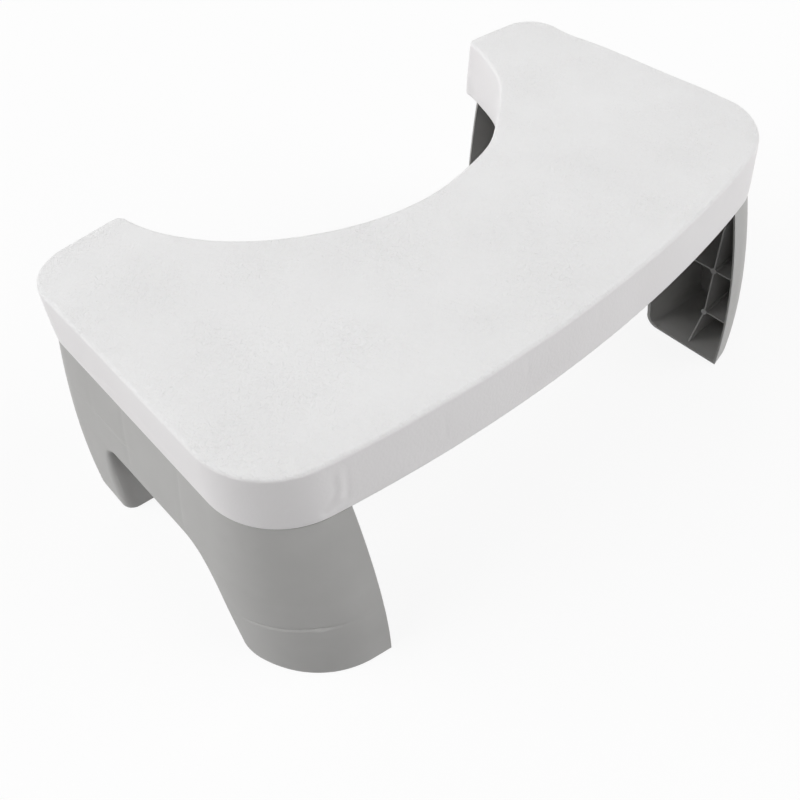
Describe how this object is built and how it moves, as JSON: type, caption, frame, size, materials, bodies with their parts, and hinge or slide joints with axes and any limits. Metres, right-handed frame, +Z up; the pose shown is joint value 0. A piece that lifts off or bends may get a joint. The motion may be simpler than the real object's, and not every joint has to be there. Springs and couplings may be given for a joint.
{
  "type": "toilet footstool",
  "caption": "Low footstool for sitting at a toilet: a white padded deck with a deep curved cut-out for the toilet, on grey moulded legs with an arch, which fold inwards under the deck.",
  "frame": {"origin": "on the floor, under the middle of the bounding box", "axes": "+Z up, +Y to the toilet and the cut-out, +X to the right of someone who looks from the front"},
  "size_m": [0.4822, 0.2762, 0.178],
  "materials": {
    "cover": "matt white leather-grained skin",
    "foam": "open foam",
    "tray_plastic": "moulded",
    "leg_plastic": "fine matt moulded grey",
    "foot_rubber": "matt",
    "steel": "zinc plated"
  },
  "bodies": {
    "deck": {"deck_tray": "tray_plastic", "foam_pad": "foam", "left_front_hinge_pin": "steel", "left_front_pin_ring": "steel", "left_rear_hinge_pin": "steel", "left_rear_pin_ring": "steel", "plate_screw_1": "steel", "plate_screw_10": "steel", "plate_screw_11": "steel", "plate_screw_12": "steel", "plate_screw_2": "steel", "plate_screw_3": "steel", "plate_screw_4": "steel", "plate_screw_5": "steel", "plate_screw_6": "steel", "plate_screw_7": "steel", "plate_screw_8": "steel", "plate_screw_9": "steel", "right_front_hinge_pin": "steel", "right_front_pin_ring": "steel", "right_rear_hinge_pin": "steel", "right_rear_pin_ring": "steel", "top_cover": "cover", "underside_plate": "leg_plastic"},
    "left_leg": {"left_front_foot_pad": "foot_rubber", "left_leg": "leg_plastic", "left_rear_foot_pad": "foot_rubber"},
    "right_leg": {"right_front_foot_pad": "foot_rubber", "right_leg": "leg_plastic", "right_rear_foot_pad": "foot_rubber"}
  },
  "joints": [
    {"name": "right_leg_fold", "type": "hinge", "parent": "deck", "child": "right_leg", "pos_m": [0.173, 0.00723, 0.1261], "axis": [0, 1, 0], "range_deg": [0, 90]},
    {"name": "left_leg_fold", "type": "hinge", "parent": "deck", "child": "left_leg", "pos_m": [-0.173, 0.00723, 0.1261], "axis": [0, -1, 0], "range_deg": [0, 90]}
  ]
}
